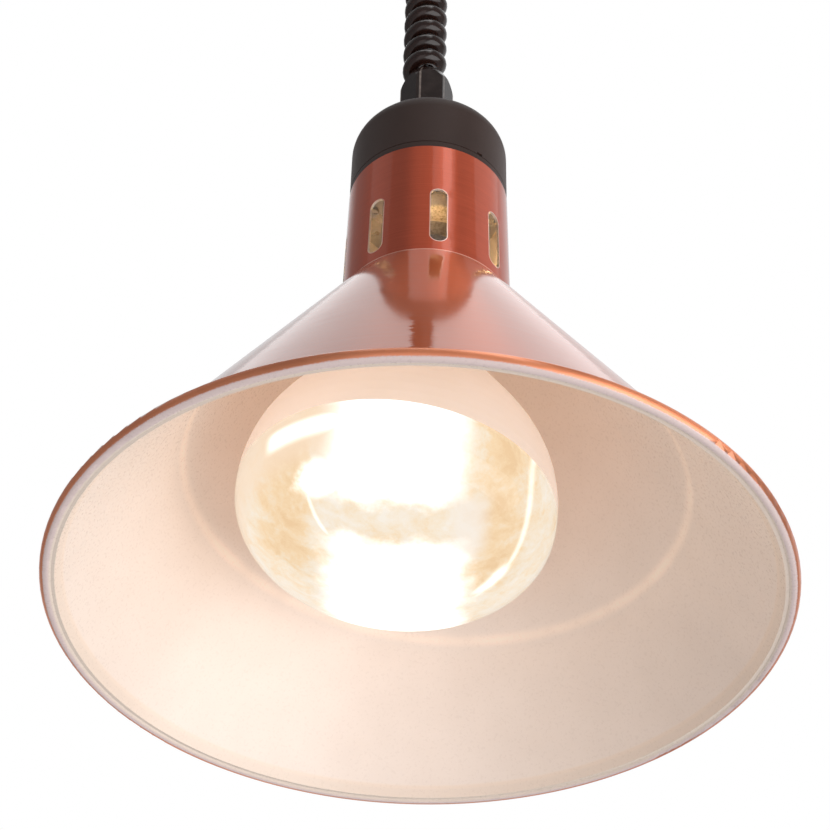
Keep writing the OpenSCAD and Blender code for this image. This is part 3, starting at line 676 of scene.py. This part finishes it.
# The reflector's inner faces are its mirror.
inner = frame["nodes"]["bulb_reflector"]
axis = Vector((math.sin(LEAN), 0, math.cos(LEAN)))
inner.data.materials.append(MATS["bulb_glow"])
slot_index = len(inner.material_slots) - 1
for poly in inner.data.polygons:
    off = poly.center - PIVOT * MM
    radial = off - axis * off.dot(axis)
    if poly.normal.dot(radial) < 0:
        poly.material_index = slot_index

# The neck is bare inside and at the cut edges of its slots.
neck = frame["nodes"]["neck_tube"]
neck.data.materials.append(MATS["bare_edge"])
neck.data.materials.append(MATS["neck_inside"])
for poly in neck.data.polygons:
    c = poly.center * 1000 - Vector((HEAD_X, 0, RIM_Z))
    flat = Vector((c.x, c.y, 0))
    facing = poly.normal.dot(flat.normalized())
    if facing < -0.7 or (abs(poly.normal.z) > 0.7 and flat.length < 34):
        poly.material_index = 2
    elif facing < 0.7 and 158 < c.z < 196:
        poly.material_index = 1

# ---------------------------------------------------------------- stage and light
floor = mesh_object("floor", [(-9, -9, -2.4), (9, -9, -2.4), (9, 9, -2.4), (-9, 9, -2.4)], [(0, 1, 2, 3)], False)
fm = Mat("floor_white")
fm.set(Base_Color=fm.ramp(fm.noise(fm.position(), 1.5, 2.0), [(0.3, (0.82, 0.82, 0.82)), (0.7, (0.86, 0.86, 0.86))]), Roughness=0.8)
floor.data.materials.append(fm.m)

world = bpy.data.worlds.new("studio")
scene.world = world
world.use_nodes = True
wt = world.node_tree
wt.nodes.clear()
w_out = wt.nodes.new("ShaderNodeOutputWorld")
w_ray = wt.nodes.new("ShaderNodeLightPath")
w_env = wt.nodes.new("ShaderNodeBackground")
w_cam = wt.nodes.new("ShaderNodeBackground")
w_mix = wt.nodes.new("ShaderNodeMixShader")
w_dir = wt.nodes.new("ShaderNodeTexCoord")
w_dot = wt.nodes.new("ShaderNodeVectorMath")
w_dot.operation = "DOT_PRODUCT"
w_dot.inputs[1].default_value = (0.2, 0.9, 0.3)
w_span = wt.nodes.new("ShaderNodeMapRange")
w_span.interpolation_type = "SMOOTHSTEP"
for key, value in (("From Min", 0.45), ("From Max", 0.82), ("To Min", 0.28), ("To Max", 0.84)):
    w_span.inputs[key].default_value = value
w_env.inputs["Color"].default_value = (0.97, 0.985, 1.0, 1.0)
w_cam.inputs["Color"].default_value = (1.0, 1.0, 1.0, 1.0)
w_cam.inputs["Strength"].default_value = 1.0
wt.links.new(w_dir.outputs["Generated"], w_dot.inputs[0])
wt.links.new(w_dot.outputs["Value"], w_span.inputs["Value"])
wt.links.new(w_span.outputs["Result"], w_env.inputs["Strength"])
wt.links.new(w_ray.outputs["Is Camera Ray"], w_mix.inputs[0])
wt.links.new(w_env.outputs[0], w_mix.inputs[1])
wt.links.new(w_cam.outputs[0], w_mix.inputs[2])
wt.links.new(w_mix.outputs[0], w_out.inputs["Surface"])


def softbox(name, az, el, distance, size, radiance, colour=(1, 1, 1), target=(0, 0, -0.55)):
    """An area light round the target: az 0 is in front (-Y), positive to the right."""
    a, e = math.radians(az), math.radians(el)
    d = Vector((math.sin(a) * math.cos(e), -math.cos(a) * math.cos(e), math.sin(e)))
    data = bpy.data.lights.new(name, "AREA")
    data.shape = "RECTANGLE"
    data.size, data.size_y = size
    data.energy = radiance * math.pi * size[0] * size[1]
    data.color = colour
    obj = bpy.data.objects.new(name, data)
    obj.location = Vector(target) + d * distance
    obj.rotation_mode = "QUATERNION"
    obj.rotation_quaternion = d.to_track_quat("Z", "Y")
    obj.visible_camera = False
    scene.collection.objects.link(obj)
    return obj


softbox("key_right", 27, 46, 2.2, (0.34, 1.8), 1.15)
softbox("key_soft", 22, 46, 2.25, (0.85, 1.8), 0.6)
softbox("fill_left", -73, 42, 2.2, (0.9, 1.8), 0.18)
softbox("side_right", 95, 42, 2.2, (1.3, 1.8), 0.4)
softbox("low_right", 66, -32, 1.8, (2.0, 1.6), 2.2)
softbox("low_front", 0, -38, 2.2, (1.3, 2.2), 0.62, (1.0, 0.86, 0.85))
softbox("top_back", 180, 72, 2.2, (1.5, 1.5), 0.55)
softbox("top_front", 5, 68, 2.2, (1.2, 1.0), 1.1)


def lamp(name, energy, colour, radius, where, body, shadow=True):
    """A warm light inside the fixture that moves with a body."""
    data = bpy.data.lights.new(name, "POINT")
    data.energy, data.color, data.shadow_soft_size = energy, colour, radius
    obj = bpy.data.objects.new(name, data)
    obj.location = where
    obj.visible_camera = False
    obj.visible_glossy = False
    data.use_shadow = shadow
    scene.collection.objects.link(obj)
    holder = frame["bodies"][body]
    obj.parent = holder
    obj.matrix_parent_inverse = holder.matrix_world.inverted()


axis = Vector((math.sin(LEAN), 0, math.cos(LEAN)))
lamp("bulb_light", 0.2, (1.0, 0.60, 0.34), 0.016, (PIVOT + axis * (RING_Z - 9)) * MM, "bulb")
lamp("bulb_haze", 0.68, (1.0, 0.75, 0.57), 0.04, (PIVOT + axis * (RING_Z + 10)) * MM, "bulb", False)
for k, (x, y, power) in enumerate(((0, -28, 0.0032), (-28, 0, 0.011), (0, 28, 0.006), (29, 0, 0.011))):
    lamp(f"neck_light_{k}", power, (1.0, 0.78, 0.56), 0.003, Vector((HEAD_X + x, y, RIM_Z + 200)) * MM, "lamp_head")

scene.view_settings.view_transform = "Standard"
scene.view_settings.look = "None"
scene.view_settings.exposure = 0.0
scene.view_settings.gamma = 1.0
